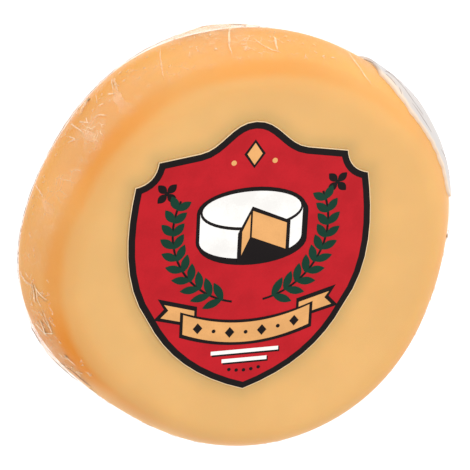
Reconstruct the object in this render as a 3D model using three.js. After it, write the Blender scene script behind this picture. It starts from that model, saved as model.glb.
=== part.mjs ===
// A small round smoked gouda in tight clear film, lying flat with its labelled face up.
// Millimetres, +Z up. The origin is under the middle of the object, on the surface it rests on.
// +X runs along the width of the face label and +Y up its height.
import * as THREE from 'three';

// ---- Driving dimensions -------------------------------------------------------------------

const WHEEL_RADIUS = 49.2; // mean radius at half height, where the rim bulges most
const WHEEL_HEIGHT = 30.25; // face to face
const SHOULDER_RADIUS = 45.5; // where the bulging rim runs into a rounded shoulder
const SHOULDER_DROP = 4; // how far that line lies below the face
const SHOULDER_REACH = 3.6; // pull of the shoulder's curve along the face, more is softer
const OUTLINE_WAVES = [
  // The hand-made outline isn't a true circle: [waves in a turn, cosine share, sine share]
  [2, -0.0013, -0.0093],
  [3, -0.0137, 0.0054],
  [4, 0.0025, 0.0149],
  [5, -0.0053, -0.0033],
  [6, -0.0003, 0.0026],
];
const FILM_SLACK = [
  // Where the film stands off the rim: angle and its reach in degrees, height and its reach, lift
  { angle: 99, reach: 9, height: 12, span: 7, lift: 0.7 },
  { angle: 207, reach: 9, height: 15, span: 8, lift: 0.6 },
];

const FACE_LABEL_CENTRE = [-2.9, 0];
const FACE_LABEL_HALF_WIDTH = 27.6;
const FACE_LABEL_TOP = 27.2; // height of the shoulders above the label's centre
const FACE_LABEL_CREST = 33.8; // height of the arched crest above the centre
const FACE_LABEL_FOOT = -29.4; // the lowest point
const FACE_LABEL_THICKNESS = 0.3;

const RIM_LABEL_FROM = 11; // degrees from +X, anticlockwise seen from above
const RIM_LABEL_TO = 54;
const RIM_LABEL_LOW = 4.4; // lower edge, above the resting face
const RIM_LABEL_HIGH = 25.7; // upper edge, where it is highest
const RIM_LABEL_CORNERS = [
  // The upper edge curves down towards either end
  { from: 17, to: RIM_LABEL_FROM, drop: 4.5 },
  { from: 33, to: RIM_LABEL_TO, drop: 5.3 },
];
const RIM_LABEL_GAP = 0.1; // clear of the wheel, so that the two bodies never cross
const RIM_LABEL_THICKNESS = 0.3;

// ---- Tessellation -------------------------------------------------------------------------

const ROUND_STEPS = 96;
const SHOULDER_STEPS = 5;
const RIM_STEPS = 12;
const LABEL_CURVE_STEPS = 8;
const RIM_LABEL_STEPS = 32;

// ---- The wheel's form ---------------------------------------------------------------------

const HALF_HEIGHT = WHEEL_HEIGHT / 2;
const RIM_HALF_HEIGHT = HALF_HEIGHT - SHOULDER_DROP;
const RIM_BULGE = WHEEL_RADIUS - SHOULDER_RADIUS;

// Radius of the barrel-shaped rim at a height above the resting face
function rimRadius(height) {
  const share = (height - HALF_HEIGHT) / RIM_HALF_HEIGHT;
  return WHEEL_RADIUS - RIM_BULGE * share * share;
}

// How much wider or narrower than the mean circle the outline is in one direction
function outlineFactor(angle) {
  let factor = 1;
  for (const [waves, cosine, sine] of OUTLINE_WAVES) {
    factor += cosine * Math.cos(waves * angle) + sine * Math.sin(waves * angle);
  }
  return factor;
}

// A smooth bump: 1 in its middle, falling to nothing over about twice its reach
function swell(distance, reach) {
  return Math.exp(-((distance / reach) ** 2));
}

// How far the film stands off the rim at one place
function filmLift(angle, height) {
  let lift = 0;
  for (const slack of FILM_SLACK) {
    const turn = THREE.MathUtils.radToDeg(angle) - slack.angle;
    const away = THREE.MathUtils.euclideanModulo(turn + 180, 360) - 180;
    lift += slack.lift * swell(away, slack.reach) * swell(height - slack.height, slack.span);
  }
  return lift;
}

// One shoulder's curve from the flat face down to the rim, as [radius, drop below the face]
function shoulderCurve() {
  const slope = (2 * RIM_BULGE) / RIM_HALF_HEIGHT;
  const bend = SHOULDER_RADIUS - slope * SHOULDER_DROP;
  return new THREE.QuadraticBezierCurve(
    new THREE.Vector2(bend - SHOULDER_REACH, 0),
    new THREE.Vector2(bend, 0),
    new THREE.Vector2(SHOULDER_RADIUS, SHOULDER_DROP),
  ).getPoints(SHOULDER_STEPS);
}

// The whole section, from the middle of the resting face round to the middle of the top face
function wheelProfile() {
  const shoulder = shoulderCurve();
  const profile = [new THREE.Vector2(0, 0)];
  for (const point of shoulder) {
    profile.push(new THREE.Vector2(point.x, point.y));
  }
  for (let step = 1; step < RIM_STEPS; step += 1) {
    const height = SHOULDER_DROP + (2 * RIM_HALF_HEIGHT * step) / RIM_STEPS;
    profile.push(new THREE.Vector2(rimRadius(height), height));
  }
  for (const point of shoulder.toReversed()) {
    profile.push(new THREE.Vector2(point.x, WHEEL_HEIGHT - point.y));
  }
  profile.push(new THREE.Vector2(0, WHEEL_HEIGHT));
  return profile;
}

function wrappedWheel() {
  const geometry = new THREE.LatheGeometry(wheelProfile(), ROUND_STEPS);
  geometry.rotateX(Math.PI / 2);
  const places = geometry.attributes.position;
  for (let i = 0; i < places.count; i += 1) {
    const angle = Math.atan2(places.getY(i), places.getX(i));
    const radius = Math.hypot(places.getX(i), places.getY(i));
    const height = places.getZ(i);
    const onRim = height > SHOULDER_DROP / 2 && height < WHEEL_HEIGHT - SHOULDER_DROP / 2;
    const grown = radius * outlineFactor(angle) + (onRim ? filmLift(angle, height) : 0);
    places.setXY(i, grown * Math.cos(angle), grown * Math.sin(angle));
  }
  const film = new THREE.MeshStandardMaterial({ color: 0xeab673, roughness: 0.3, metalness: 0 });
  const wheel = new THREE.Mesh(geometry, film);
  wheel.name = 'wrapped_cheese';
  return wheel;
}

// ---- The labels ---------------------------------------------------------------------------

// One side of a shield with an arched crest and hollow corners, from the crest down to the foot
function labelSide(side) {
  const wide = side * FACE_LABEL_HALF_WIDTH;
  const top = FACE_LABEL_TOP;
  const path = new THREE.Path();
  path.moveTo(0, FACE_LABEL_CREST);
  path.bezierCurveTo(wide * 0.2, FACE_LABEL_CREST, wide * 0.26, top + 0.8, wide * 0.44, top);
  path.lineTo(wide * 0.77, top - 1.4);
  path.quadraticCurveTo(wide * 0.79, top - 6, wide * 0.95, top - 6.8);
  path.bezierCurveTo(wide * 1.02, top - 17, wide * 1.04, top - 29, wide * 0.82, top - 38);
  path.bezierCurveTo(wide * 0.66, top - 47, wide * 0.4, top - 53, 0, FACE_LABEL_FOOT);
  return path.getPoints(LABEL_CURVE_STEPS);
}

function faceLabel() {
  const left = labelSide(-1);
  const right = labelSide(1).slice(1, -1).toReversed();
  const shield = new THREE.Shape([...left, ...right]);
  const geometry = new THREE.ExtrudeGeometry(shield, { depth: FACE_LABEL_THICKNESS, bevelEnabled: false });
  const paper = new THREE.MeshStandardMaterial({ color: 0xbb252b, roughness: 0.4, metalness: 0 });
  const label = new THREE.Mesh(geometry, paper);
  label.name = 'face_label';
  label.position.set(FACE_LABEL_CENTRE[0], FACE_LABEL_CENTRE[1], WHEEL_HEIGHT);
  return label;
}

// Height of the rim label's upper edge in one direction, in degrees
function rimLabelTop(degrees) {
  let top = RIM_LABEL_HIGH;
  for (const { from, to, drop } of RIM_LABEL_CORNERS) {
    top -= drop * Math.max((degrees - from) / (to - from), 0) ** 2.5;
  }
  return top;
}

// A flat strip bent round the bulging rim: x runs round it, y up it and z out of it
function rimLabel() {
  const geometry = new THREE.BoxGeometry(1, 1, RIM_LABEL_THICKNESS, RIM_LABEL_STEPS, RIM_STEPS, 1);
  geometry.translate(0.5, 0.5, RIM_LABEL_GAP + RIM_LABEL_THICKNESS / 2);
  const places = geometry.attributes.position;
  for (let i = 0; i < places.count; i += 1) {
    const degrees = THREE.MathUtils.lerp(RIM_LABEL_FROM, RIM_LABEL_TO, places.getX(i));
    const angle = THREE.MathUtils.degToRad(degrees);
    const height = THREE.MathUtils.lerp(RIM_LABEL_LOW, rimLabelTop(degrees), places.getY(i));
    const radius = rimRadius(height) * outlineFactor(angle) + places.getZ(i);
    places.setXYZ(i, radius * Math.cos(angle), radius * Math.sin(angle), height);
  }
  const paper = new THREE.MeshStandardMaterial({ color: 0xe8e7e3, roughness: 0.5, metalness: 0 });
  const label = new THREE.Mesh(geometry, paper);
  label.name = 'rim_label';
  return label;
}

// ---- The object ---------------------------------------------------------------------------

const cheese = new THREE.Group();
cheese.add(wrappedWheel(), faceLabel(), rimLabel());

// The uneven outline is moved so that the middle of its box stands over the origin
const middle = new THREE.Box3().setFromObject(cheese).getCenter(new THREE.Vector3());
cheese.position.set(-middle.x, -middle.y, 0);

export default cheese;
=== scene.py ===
"""A small round smoked gouda in tight clear film, dressed over its solid model.

The cheese lies flat with its labelled face up. Lengths are metres in the frame of the solid model:
+Z up, +X along the width of the face label and +Y up its height.
"""

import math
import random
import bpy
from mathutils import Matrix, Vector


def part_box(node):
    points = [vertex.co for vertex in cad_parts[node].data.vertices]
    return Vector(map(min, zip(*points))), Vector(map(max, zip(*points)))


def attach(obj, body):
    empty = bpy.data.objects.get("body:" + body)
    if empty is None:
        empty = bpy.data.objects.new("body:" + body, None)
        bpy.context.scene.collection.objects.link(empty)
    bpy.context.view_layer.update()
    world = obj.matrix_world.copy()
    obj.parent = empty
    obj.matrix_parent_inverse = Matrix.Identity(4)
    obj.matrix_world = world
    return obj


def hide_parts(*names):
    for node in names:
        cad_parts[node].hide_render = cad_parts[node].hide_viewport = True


bl_info = {
    "name": "Smoked Gouda",
    "version": (1, 0, 0),
    "blender": (4, 5, 0),
    "location": "View3D > Sidebar > Gouda",
    "description": "A small round smoked gouda in clear film, with its labels and a plain stage",
    "category": "Object",
}

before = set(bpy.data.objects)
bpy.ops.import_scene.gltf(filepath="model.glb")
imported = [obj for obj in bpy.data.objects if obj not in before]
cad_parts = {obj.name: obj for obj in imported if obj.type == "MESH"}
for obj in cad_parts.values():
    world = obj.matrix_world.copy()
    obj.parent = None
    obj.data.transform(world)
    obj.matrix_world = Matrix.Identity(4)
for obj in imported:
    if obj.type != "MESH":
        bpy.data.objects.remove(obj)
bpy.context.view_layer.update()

import bmesh
import bpy
from bpy.props import FloatProperty, FloatVectorProperty, IntProperty, PointerProperty
from mathutils import Matrix, Vector, kdtree, noise
from mathutils.geometry import interpolate_bezier

MM = 0.001
WHITE = (1, 1, 1)
PICTURE_WIDTH = 470  # pixels
SENSOR_WIDTH = 36  # millimetres
BODY = "root"


# ---- Sizes and colours a user would change -------------------------------------------------


def length(name, description, default):
    """A length in metres, shown in the scene's units."""
    return FloatProperty(
        name=name, description=description, default=default, unit="LENGTH", precision=5
    )


def colour(name, description, default):
    """A colour in linear light."""
    return FloatVectorProperty(
        name=name, description=description, default=default, subtype="COLOR", min=0, max=1
    )


def angle(name, description, degrees):
    """An angle, shown in degrees."""
    return FloatProperty(
        name=name, description=description, default=math.radians(degrees), subtype="ANGLE"
    )


def number(name, description, default, unit="NONE"):
    """A plain number, or watts where the unit is POWER."""
    return FloatProperty(name=name, description=description, default=default, unit=unit)


def photo(red, green, blue):
    """Linear light from the 0 to 255 numbers in which a photograph gives a colour."""

    def linear(value):
        value /= 255
        return value / 12.92 if value <= 0.04045 else ((value + 0.055) / 1.055) ** 2.4

    return linear(red), linear(green), linear(blue)


class GoudaSizes(bpy.types.PropertyGroup):
    """Sizes of the cheese and its film."""

    radius: length("Radius", "Mean radius of the rim at half height", 49.2 * MM)
    height: length("Height", "From face to face", 30.25 * MM)
    shoulder_radius: length(
        "Shoulder radius", "Where the bulging rim runs into the rounded shoulder", 45.5 * MM
    )
    shoulder_drop: length("Shoulder drop", "How far that line lies below the face", 4 * MM)
    shoulder_reach: length("Shoulder reach", "Pull of the shoulder's curve along the face", 3.6 * MM)
    film_depth: length("Film depth", "How far the film lies inside the solid", 0.02 * MM)
    cheese_depth: length("Cheese depth", "How far the cheese lies inside the solid", 0.1 * MM)
    cheese_dents: length("Cheese dents", "Depth of the cheese's shallow dents", 0.2 * MM)
    fold_root: length("Fold root", "How deep the film's folds reach into the cheese", 0.5 * MM)
    film_crumple: length("Film crumple", "Height of the film's small wrinkles on the rim", 0.2 * MM)
    turn_steps: IntProperty(
        name="Steps in a turn", description="Faces round the cheese", default=300, min=24
    )


class GoudaColours(bpy.types.PropertyGroup):
    """Colours of the cheese, the film and the papers."""

    face: colour("Face", "The flat face of the cheese", photo(230, 181, 115))
    smoked_edge: colour("Smoked edge", "The darker ring along the shoulder", photo(234, 144, 48))
    rim: colour("Rim", "The side of the cheese", photo(244, 186, 104))
    smoked_rim: colour("Smoked rim", "The side where it is smoked most", photo(226, 157, 93))
    # Painted shade: darkens the side and deepens its orange away from its shoulder
    low_rim_shade: colour("Low rim", "How the side deepens away from its shoulder", (0.94, 0.885, 0.67))
    # The film's milky colour, which where it is hazy also paints the light's sheen on it
    film: colour("Film", "The haze of the film", photo(255, 222, 178))
    # Milky folded film, whose bright cream is also a painted glint of light on its folds
    folded_film_and_glint: colour("Folded film", "Film that lies folded on itself", photo(255, 222, 182))
    film_edge: colour("Film edge", "The edge and the folds of film seen side on", photo(142, 112, 92))
    label_edge: colour("Label edge", "The face label's bare edge", photo(243, 215, 172))
    label_field: colour("Label field", "The face label's field", photo(190, 24, 35))
    label_black: colour("Label black", "The face label's dark print", photo(20, 13, 14))
    label_gold: colour("Label gold", "The face label's gold print", photo(230, 170, 106))
    label_green: colour("Label green", "The face label's green print", photo(10, 58, 42))
    label_white: colour("Label white", "The face label's white print", photo(250, 247, 243))
    # The rim label's white paper, greyed by painted shade
    rim_paper_in_shade: colour("Rim label", "The paper of the rim label", photo(206, 200, 195))
    # A cream band along the rim label's upper edge
    cream_edge: colour("Worn edge", "The rim label's worn upper edge", photo(238, 214, 188))
    rim_crease: colour("Rim label crease", "The shaded creases of the rim label", photo(150, 118, 108))
    floor: colour("Floor", "The stage's floor", (0.4, 0.4, 0.4))


class GoudaStage(bpy.types.PropertyGroup):
    """The camera and the lights."""

    azimuth: angle("Azimuth", "Where the camera stands round the cheese", 217.24)
    elevation: angle("Elevation", "How far the camera looks down", 60.99)
    roll: angle("Roll", "Turn of the picture about its middle", 141.94)
    distance: length("Distance", "From the camera to the middle of the cheese", 564.7 * MM)
    lens: number("Lens", "Focal length on a 36 mm sensor, in millimetres", 194.1)
    key_light: number("Key light", "Watts of the large light above", 5.0, "POWER")
    fill_light: number("Fill light", "Watts of the light from the side", 0.5, "POWER")
    sky: number("Sky", "Strength of the even light all round", 0.8)
    floor_glow: number("Floor glow", "How strongly the pale floor glows", 0.85)
    aim: FloatVectorProperty(
        name="Aim",
        description="Where the cheese's middle lies, right of and below the picture's, in pixels",
        default=(5.27, 4.02),
        size=2,
    )


# ---- Form ------------------------------------------------------------------------------------

# The hand-made outline isn't a true circle: waves in a turn, cosine share, sine share
OUTLINE_WAVES = (
    (2, -0.0013, -0.0093),
    (3, -0.0137, 0.0054),
    (4, 0.0025, 0.0149),
    (5, -0.0053, -0.0033),
    (6, -0.0003, 0.0026),
)

# Steps in a turn of the solid wheel, whose corners touch its box
SOLID_STEPS = 96

# Where the film stands off the rim: angle and its reach in degrees, height, its reach and lift in mm
FILM_SLACK = (
    (99, 9, 12, 7, 0.7),
    (207, 9, 15, 8, 0.6),
    (5, 8, 19, 6, 0.35),
)

# Where the cheese is hollow under the film, given in the same way, with its depth last
CHEESE_HOLLOWS = (
    (58, 8, 15, 6, 0.35),
    (104, 14, 9, 5, 0.5),
    (142, 8, 8, 5, 0.16),
)


def swell(distance, reach):
    """A smooth bump: 1 in its middle, falling to nothing over about twice its reach."""
    return math.exp(-((distance / reach) ** 2))


def past(turn, degrees):
    """How many degrees a direction lies past another, from -180 to 180."""
    return (math.degrees(turn) - degrees + 180) % 360 - 180


def swells(places, turn, height):
    """What smooth bumps at some places of the rim add up to at one of them."""
    total = 0
    for degrees, reach, level, span, most in places:
        total += most * swell(past(turn, degrees), reach) * swell(height / MM - level, span)
    return total * MM


def share_round(lobes, least, turn):
    """A share that swells towards some directions and is never less than the least."""
    share = least
    for degrees, reach, most in lobes:
        share = max(share, most * swell(past(turn, degrees), reach))
    return share


def smooth_step(value, low, high):
    """0 below low, 1 above high, and an easy curve between them."""
    share = min(max((value - low) / (high - low), 0), 1)
    return share * share * (3 - 2 * share)


def rim_share(edge):
    """0 over the faces and 1 on the rim, at a distance in mm from the shoulder's line."""
    return smooth_step(edge, -1.5, 3)


def outline_factor(turn):
    """How much wider or narrower than the mean circle the outline is in one direction."""
    factor = 1
    for waves, cosine, sine in OUTLINE_WAVES:
        factor += cosine * math.cos(waves * turn) + sine * math.sin(waves * turn)
    return factor


class WheelForm:
    """The surface of the wrapped wheel, as a place for each direction and height."""

    def __init__(self, sizes):
        self.radius = sizes.radius
        self.height = sizes.height
        self.shoulder_radius = sizes.shoulder_radius
        self.drop = sizes.shoulder_drop
        self.middle = sizes.height / 2
        self.rim_half = self.middle - self.drop
        self.bulge = self.radius - self.shoulder_radius
        self.bend = self.shoulder_radius - 2 * self.bulge / self.rim_half * self.drop
        self.face_radius = self.bend - sizes.shoulder_reach
        self.film_crumple = sizes.film_crumple
        self.axis = self.find_axis()

    def find_axis(self):
        """Where the wheel's middle stands, from the low sides of its box, where no film is slack."""
        low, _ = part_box("wrapped_cheese")
        turns = [math.tau * step / SOLID_STEPS for step in range(SOLID_STEPS)]
        left = min(self.radius * outline_factor(turn) * math.cos(turn) for turn in turns)
        down = min(self.radius * outline_factor(turn) * math.sin(turn) for turn in turns)
        return Vector((low[0] - left, low[1] - down, 0))

    def radius_at(self, height):
        """Radius of the mean section at a height."""
        drop = min(height, self.height - height)
        if drop >= self.drop:
            share = (height - self.middle) / self.rim_half
            return self.radius - self.bulge * share * share
        t = math.sqrt(max(drop, 0) / self.drop)
        start = (1 - t) ** 2 * self.face_radius
        return start + 2 * t * (1 - t) * self.bend + t * t * self.shoulder_radius

    def place(self, turn, height, lift=0.0):
        """The place at a direction and height, lifted straight out of the surface."""
        radius = self.radius_at(height) * outline_factor(turn)
        spot = self.axis + Vector((radius * math.cos(turn), radius * math.sin(turn), height))
        return spot + self.outward(turn, height) * lift

    def outward(self, turn, height):
        """The direction straight out of the section's curve."""
        step = 0.05 * MM
        inset = 0.0001 * MM
        low = max(height - step, inset)
        high = min(height + step, self.height - inset)
        lean = (self.radius_at(low) - self.radius_at(high)) / (high - low)
        return Vector((math.cos(turn), math.sin(turn), lean)).normalized()

    def section(self, face_rings, shoulder_rings, rim_rings):
        """Points of the half section, from the middle of the underside to the middle of the top."""
        points = [(0, 0)]
        for ring in range(1, face_rings + 1):
            points.append((self.face_radius * ring / face_rings, 0))
        for ring in range(1, shoulder_rings + 1):
            drop = self.drop * (ring / shoulder_rings) ** 2
            points.append((self.radius_at(drop), drop))
        for ring in range(1, rim_rings):
            height = self.drop + 2 * self.rim_half * ring / rim_rings
            points.append((self.radius_at(height), height))
        for radius, height in reversed(points[: face_rings + shoulder_rings + 1]):
            points.append((radius, self.height - height))
        return points

    def edge_distance(self, radius, height):
        """Distance from the shoulder's line: positive on the rim, negative over the faces."""
        drop = min(height, self.height - height)
        if drop >= self.drop:
            return drop - self.drop
        return -math.hypot(self.shoulder_radius - radius, (self.drop - drop) * 0.5)


# ---- Mesh helpers ----------------------------------------------------------------------------


def new_piece(name, bm, material, smooth=True):
    """Turns a bmesh into an object at the origin that rides on the part."""
    mesh = bpy.data.meshes.new(name)
    bm.to_mesh(mesh)
    bm.free()
    mesh.polygons.foreach_set("use_smooth", [smooth] * len(mesh.polygons))
    mesh.materials.append(material)
    piece = bpy.data.objects.new(name, mesh)
    bpy.context.scene.collection.objects.link(piece)
    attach(piece, BODY)
    return piece


def spun_wheel(form, steps, face_rings, shoulder_rings, rim_rings):
    """The wheel's section spun into a closed body, with its uneven outline."""
    bm = bmesh.new()
    points = form.section(face_rings, shoulder_rings, rim_rings)
    verts = [bm.verts.new((radius, 0, height)) for radius, height in points]
    edges = [bm.edges.new(pair) for pair in zip(verts, verts[1:])]
    bmesh.ops.spin(
        bm,
        geom=verts + edges,
        cent=(0, 0, 0),
        axis=(0, 0, 1),
        angle=math.tau,
        steps=steps,
        use_merge=True,
    )
    bmesh.ops.remove_doubles(bm, verts=bm.verts, dist=0.001 * MM)
    bmesh.ops.recalc_face_normals(bm, faces=bm.faces)
    edge = bm.verts.layers.float.new("edge_distance")
    for vert in bm.verts:
        radius = math.hypot(vert.co.x, vert.co.y)
        turn = math.atan2(vert.co.y, vert.co.x)
        vert[edge] = form.edge_distance(radius, vert.co.z) / MM
        factor = outline_factor(turn)
        vert.co.x *= factor
        vert.co.y *= factor
    bmesh.ops.translate(bm, verts=bm.verts, vec=form.axis)
    bm.normal_update()
    return bm, edge


def cube_noise(point, scale, seed):
    """Soft noise of -1 to 1 whose waves are scale long."""
    return noise.noise(point / scale + Vector((seed, seed * 1.7, seed * 2.3)))


def along(path, share):
    """A place on a path of (degrees, height) pairs, with its corners eased."""
    easing = 0.06
    total = Vector((0, 0))
    for shift in (-easing, 0, easing):
        spot = min(max(share + shift, 0), 1) * (len(path) - 1)
        index = min(int(spot), len(path) - 2)
        total += Vector(path[index]).lerp(Vector(path[index + 1]), spot - index)
    return total / 3


def repeated(bm, times):
    """A bmesh that holds what another holds, so many times over and in the same order."""
    one = bpy.data.meshes.new("one")
    bm.to_mesh(one)
    bm.free()
    many = bmesh.new()
    for _ in range(times):
        many.from_mesh(one)
    bpy.data.meshes.remove(one)
    return many


def ridge_station(form, rise, path, share, width, taper):
    """Where a ridge's middle lies at one share of its path.

    Gives the spot, the directions to its side and out of the skin, and the ridge's half width.
    """
    nudge = 0.02
    here = along(path, share)
    before = along(path, max(share - nudge, 0))
    after = along(path, min(share + nudge, 1))
    turn = math.radians(here.x)
    level = here.y * MM
    out = form.outward(turn, level)
    heading = form.place(math.radians(after.x), after.y * MM)
    heading -= form.place(math.radians(before.x), before.y * MM)
    side = out.cross(heading.normalized())
    spot = form.place(turn, level, rise(form, turn, level))
    wide = width * (1 - taper * share) * (1 + 0.7 * cube_noise(spot, 1.7 * MM, 31)) / 2
    spot += side * (0.3 * width * cube_noise(spot, 2.3 * MM, 37))
    return spot, side, out, wide


def ridge_mesh(form, rise, ridges, height, root, sides=5, rings=9, clear_sides=True):
    """Slim closed ridges on a skin that stands off the solid by its rise.

    Each is given as its path of (degrees, mm up), its width, its taper and how thick it looks. Its body
    thins out towards its ends, more softly where it widens, and where its sides are clear towards them
    too. It stands half its height above the skin, and its root reaches below it.
    """
    bm = bmesh.new()
    bmesh.ops.create_uvsphere(bm, u_segments=sides, v_segments=rings, radius=1)
    count = len(bm.verts)
    bm = repeated(bm, len(ridges))
    body = bm.verts.layers.float.new("body")
    bm.verts.ensure_lookup_table()
    for index, (path, width, taper, strength) in enumerate(ridges):
        stations = {}
        fade = 0.4 if taper >= 0 else 1
        for vert in bm.verts[index * count : (index + 1) * count]:
            share = round((vert.co.z + 1) / 2, 5)
            if share not in stations:
                stations[share] = ridge_station(form, rise, path, share, width, taper)
            spot, side, out, wide = stations[share]
            across = max(math.hypot(vert.co.x, vert.co.y), 0.01)
            blunt = across**-0.5
            upper = smooth_step(vert.co.y / across, 0, 0.7) if clear_sides else 1
            vert[body] = smooth_step(1 - abs(2 * share - 1), 0, fade) * upper * strength
            lift = vert.co.y * blunt * (height / 2 if vert.co.y > 0 else root)
            vert.co = spot + side * (vert.co.x * blunt * wide) + out * lift
    return bm


# ---- Material helpers ------------------------------------------------------------------------


# A Mix node has several sockets of each name, and these are its colour ones
COLOUR_A = 6
COLOUR_B = 7
COLOUR_RESULT = 2


class Nodes:
    """Builds one node tree, with short calls for the nodes it needs."""

    def __init__(self, tree):
        self.tree = tree

    def add(self, kind, settings=None, **inputs):
        """Adds a node, sets its own settings, and sets or links its inputs by name."""
        node = self.tree.nodes.new(kind)
        for key, value in (settings or {}).items():
            setattr(node, key, value)
        for key, value in inputs.items():
            self.feed(node.inputs[key.replace("_", " ")], value)
        return node

    def feed(self, socket, value):
        """Links an output to a socket, or sets the socket's own value."""
        if isinstance(value, bpy.types.NodeSocket):
            self.tree.links.new(value, socket)
        elif socket.type == "RGBA" and len(value) == 3:
            socket.default_value = (*value, 1)
        else:
            socket.default_value = value

    def maths(self, operation, first, second, clamp=False):
        """A Math node's result."""
        node = self.add("ShaderNodeMath", {"operation": operation, "use_clamp": clamp})
        self.feed(node.inputs[0], first)
        self.feed(node.inputs[1], second)
        return node.outputs[0]

    def times(self, first, second, clamp=False):
        """Two values multiplied."""
        return self.maths("MULTIPLY", first, second, clamp)

    def plus(self, first, second, clamp=False):
        """Two values added."""
        return self.maths("ADD", first, second, clamp)

    def attribute(self, name):
        """A value that the piece's mesh holds at each point."""
        return self.add("ShaderNodeAttribute", {"attribute_name": name}).outputs["Fac"]

    def place(self):
        """Object coordinates."""
        return self.add("ShaderNodeTexCoord").outputs["Object"]

    def spread(self, value, low, high, to_low=0.0, to_high=1.0):
        """A value moved from one range to another by a smooth curve."""
        node = self.add("ShaderNodeMapRange", {"interpolation_type": "SMOOTHSTEP"})
        names = ("Value", "From Min", "From Max", "To Min", "To Max")
        for name, setting in zip(names, (value, low, high, to_low, to_high)):
            self.feed(node.inputs[name], setting)
        return node.outputs["Result"]

    def blend(self, factor, first, second, mode="MIX"):
        """Two colours mixed by a factor."""
        node = self.add("ShaderNodeMix", {"data_type": "RGBA", "blend_type": mode})
        self.feed(node.inputs["Factor"], factor)
        self.feed(node.inputs[COLOUR_A], first)
        self.feed(node.inputs[COLOUR_B], second)
        return node.outputs[COLOUR_RESULT]

    def noise(self, place, scale, detail=2.0, roughness=0.5):
        """Noise whose waves are about 1/scale long."""
        node = self.add(
            "ShaderNodeTexNoise", Vector=place, Scale=scale, Detail=detail, Roughness=roughness
        )
        return node.outputs["Fac"]


def new_material(name, view_colour, roughness, specular=0.5):
    """A material with a Principled node and an output, and the helper that fills it."""
    material = bpy.data.materials.new(name)
    material.use_nodes = True
    material.diffuse_color = (*view_colour, 1)
    material.roughness = roughness
    tree = material.node_tree
    tree.nodes.clear()
    nodes = Nodes(tree)
    shader = nodes.add("ShaderNodeBsdfPrincipled", Base_Color=view_colour, Roughness=roughness)
    shader.inputs["Specular IOR Level"].default_value = specular
    output = nodes.add("ShaderNodeOutputMaterial")
    tree.links.new(shader.outputs["BSDF"], output.inputs["Surface"])
    return material, nodes, shader


def new_group(name, numbers_in, numbers_out):
    """An empty shader node group that takes a place and numbers, and its helper, input and output."""
    group = bpy.data.node_groups.new(name, "ShaderNodeTree")
    group.interface.new_socket("Place", in_out="INPUT", socket_type="NodeSocketVector")
    for in_out, sockets in (("INPUT", numbers_in), ("OUTPUT", numbers_out)):
        for socket in sockets:
            group.interface.new_socket(socket, in_out=in_out, socket_type="NodeSocketFloat")
    nodes = Nodes(group)
    return group, nodes, nodes.add("NodeGroupInput"), nodes.add("NodeGroupOutput")


def mottle_group():
    """Soft patches of two sizes, as a value round 0.5 and as a height."""
    found = bpy.data.node_groups.get("soft mottle")
    if found:
        return found
    numbers = ("Large scale", "Small scale", "Small share")
    group, nodes, given, result = new_group("soft mottle", numbers, ("Patches", "Height"))
    place = given.outputs["Place"]
    large = nodes.noise(place, given.outputs["Large scale"])
    small = nodes.noise(place, given.outputs["Small scale"], 3.0, 0.6)
    scaled = nodes.times(nodes.maths("SUBTRACT", small, 0.5), given.outputs["Small share"])
    nodes.feed(result.inputs["Patches"], nodes.plus(large, scaled))
    nodes.feed(result.inputs["Height"], nodes.plus(nodes.times(large, 0.5), scaled))
    return group


def mottle(nodes, large, small, share):
    """The mottle group placed in a material, on Object coordinates."""
    return nodes.add(
        "ShaderNodeGroup",
        {"node_tree": mottle_group()},
        Place=nodes.place(),
        Large_scale=large,
        Small_scale=small,
        Small_share=share,
    )


def crackle_group():
    """Fine lines like those of crumpled film, as a value of 0 to 1."""
    found = bpy.data.node_groups.get("fine crackle")
    if found:
        return found
    numbers = ("Scale", "Line width")
    group, nodes, given, result = new_group("fine crackle", numbers, ("Lines",))
    place = given.outputs["Place"]
    drift = nodes.add("ShaderNodeTexNoise", Vector=place, Scale=260.0, Detail=2.0).outputs["Color"]
    sway = nodes.add("ShaderNodeVectorMath", {"operation": "SCALE"}, Vector=drift, Scale=2.2 * MM)
    moved = nodes.add("ShaderNodeVectorMath", {"operation": "ADD"})
    nodes.feed(moved.inputs[0], place)
    nodes.feed(moved.inputs[1], sway.outputs["Vector"])
    cells = nodes.add(
        "ShaderNodeTexVoronoi",
        {"feature": "DISTANCE_TO_EDGE"},
        Vector=moved.outputs["Vector"],
        Scale=given.outputs["Scale"],
    )
    lines = nodes.spread(cells.outputs["Distance"], 0.0, given.outputs["Line width"], 1.0, 0.0)
    nodes.feed(result.inputs["Lines"], lines)
    return group


def crackle(nodes, scale, width):
    """The crackle group placed in a material, on Object coordinates."""
    group = {"node_tree": crackle_group()}
    node = nodes.add("ShaderNodeGroup", group, Place=nodes.place(), Scale=scale, Line_width=width)
    return node.outputs["Lines"]


def bumped(nodes, shader, height, strength, distance):
    """Feeds a height to the shader's normal."""
    bump = nodes.add("ShaderNodeBump", Strength=strength, Distance=distance, Height=height)
    nodes.feed(shader.inputs["Normal"], bump.outputs["Normal"])


# ---- The cheese ------------------------------------------------------------------------------


# Rings of faces across a face, down a shoulder and up the rim
CHEESE_RINGS = (40, 8, 36)

# The film is drawn tight over the face label's edge, which shades the cheese beside it
LABEL_SHADE = (0.8, 0.86, 0.9)
LABEL_SHADE_REACH = 5.0  # mm
OUTLINE_SPACING = 0.3  # mm

# Where smoke has coloured the shoulder: angle and its reach in degrees, and how much
SMOKED = (
    (50, 30, 0.35),
    (92, 40, 0.55),
    (140, 34, 0.68),
    (178, 30, 0.6),
    (204, 22, 1.0),
    (228, 20, 0.5),
    (264, 30, 0.36),
    (322, 30, 0.5),
    (352, 26, 0.42),
)
LEAST_SMOKED = 0.24


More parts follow.
